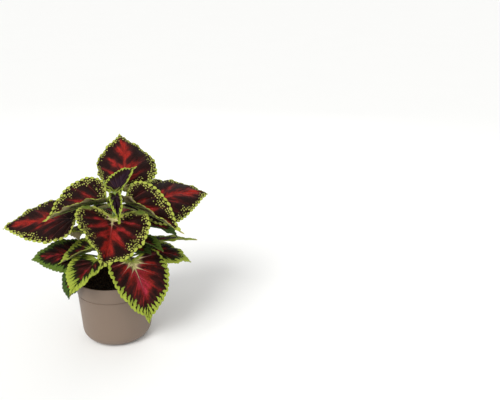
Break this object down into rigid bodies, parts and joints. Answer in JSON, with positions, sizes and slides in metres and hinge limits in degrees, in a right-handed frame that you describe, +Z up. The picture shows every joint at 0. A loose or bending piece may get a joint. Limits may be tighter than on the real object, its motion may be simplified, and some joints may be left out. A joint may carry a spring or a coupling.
{
  "type": "potted coleus plant",
  "caption": "Bushy bedding plant with broad, scalloped, two-tone leaves in opposite pairs, growing from soil in a round nursery pot.",
  "frame": {"origin": "centre of the pot's base, on the surface that it stands on", "axes": "+Z up along the pot's axis; +X to the plant's right and +Y to its back, seen from its front"},
  "size_m": [0.3062, 0.2599, 0.297],
  "materials": {
    "pot_plastic": "moulded polypropylene, taupe, satin with fine scuffs",
    "potting_soil": "moist peat and bark fibre, dark and crumbly",
    "green_stem": "fresh square stem, pale green, finely haired",
    "full_leaf": "living leaf, velvety, maroon and red with a lime scalloped rim",
    "young_leaf": "young living leaf, purple-black with a lime rim",
    "shoot_leaf": "living leaf, maroon centre with a broad lime and green rim"
  },
  "bodies": {
    "root": {"pot": "pot_plastic", "soil": "potting_soil", "main_stem": "green_stem", "front_shoot_stem": "green_stem", "right_shoot_stem": "green_stem", "back_shoot_stem": "green_stem", "axil_leaf_left": "young_leaf", "axil_leaf_right": "young_leaf", "back_shoot_leaf_1": "shoot_leaf", "back_shoot_leaf_2": "shoot_leaf", "back_shoot_leaf_3": "shoot_leaf", "base_leaf_left": "shoot_leaf", "base_leaf_right": "shoot_leaf", "bud_leaf_left": "young_leaf", "bud_leaf_right": "young_leaf", "crown_leaf_back": "full_leaf", "crown_leaf_front": "full_leaf", "front_shoot_leaf_1": "shoot_leaf", "front_shoot_leaf_2": "shoot_leaf", "front_shoot_leaf_3": "shoot_leaf", "lower_leaf_back": "full_leaf", "lower_leaf_front": "full_leaf", "middle_axil_leaf": "shoot_leaf", "middle_leaf_left": "full_leaf", "middle_leaf_right": "full_leaf", "right_shoot_leaf_1": "shoot_leaf", "right_shoot_leaf_2": "shoot_leaf", "right_shoot_leaf_3": "shoot_leaf", "tip_leaf_left": "young_leaf", "tip_leaf_right": "young_leaf", "top_leaf_back": "young_leaf", "top_leaf_front": "young_leaf", "upper_leaf_left": "full_leaf", "upper_leaf_right": "full_leaf"}
  },
  "joints": []
}
